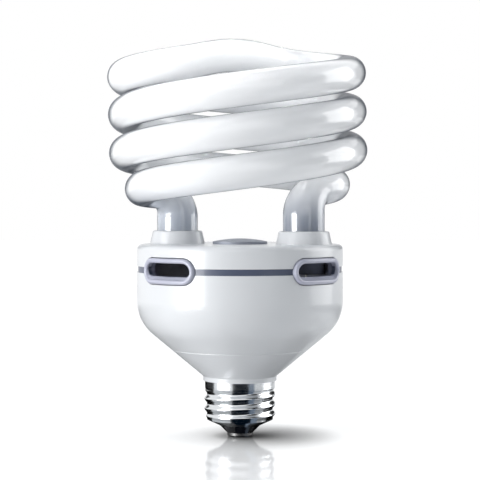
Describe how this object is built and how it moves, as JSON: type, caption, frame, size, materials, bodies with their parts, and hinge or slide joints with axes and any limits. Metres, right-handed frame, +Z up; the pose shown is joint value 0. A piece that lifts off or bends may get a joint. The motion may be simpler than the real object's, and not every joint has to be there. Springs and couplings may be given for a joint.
{
  "type": "spiral energy saving bulb",
  "caption": "Compact fluorescent lamp with a double-helix glass tube, a vented white ballast housing and an E27 screw cap.",
  "frame": {"origin": "the middle of the centre contact's flat face, on the lamp's axis", "axes": "+Z up along the axis from the cap to the glass tube, -Y towards the viewer of the picture, +X to the right"},
  "size_m": [0.0956, 0.0958, 0.1466],
  "materials": {
    "tube_glass": "gloss",
    "cement": "matte",
    "housing_plastic": "gloss",
    "vent_plastic": "satin",
    "disc_plastic": "satin",
    "cap_nickel": "polished",
    "black_glass": "gloss",
    "contact_metal": "satin",
    "board_laminate": "satin",
    "capacitor_sleeve": "gloss",
    "ferrite": "matte",
    "bobbin_plastic": "satin",
    "copper_winding": "satin",
    "black_epoxy": "satin",
    "film_coating": "gloss",
    "resistor_coating": "gloss",
    "ptc_coating": "matte",
    "tinned_wire": "satin",
    "wire_insulation": "satin"
  },
  "bodies": {
    "root": {"spiral_tube": "tube_glass", "tube_cement": "cement", "upper_cover": "housing_plastic", "vent_ring": "vent_plastic", "centre_disc": "disc_plastic", "lower_housing": "housing_plastic", "screw_shell": "cap_nickel", "cap_insulator": "black_glass", "centre_contact": "contact_metal", "circuit_board": "board_laminate", "bulk_capacitor": "capacitor_sleeve", "choke_core": "ferrite", "choke_bobbin": "bobbin_plastic", "choke_winding": "copper_winding", "drive_toroid": "ferrite", "drive_windings": "copper_winding", "power_transistors": "black_epoxy", "film_capacitors": "film_coating", "rectifier_diodes": "black_epoxy", "resistors": "resistor_coating", "filter_choke": "copper_winding", "fusible_resistor": "resistor_coating", "ptc_thermistor": "ptc_coating", "wire_wrap_pins": "tinned_wire", "electrode_leads": "tinned_wire", "live_wire": "wire_insulation", "neutral_wire": "wire_insulation"}
  },
  "joints": []
}
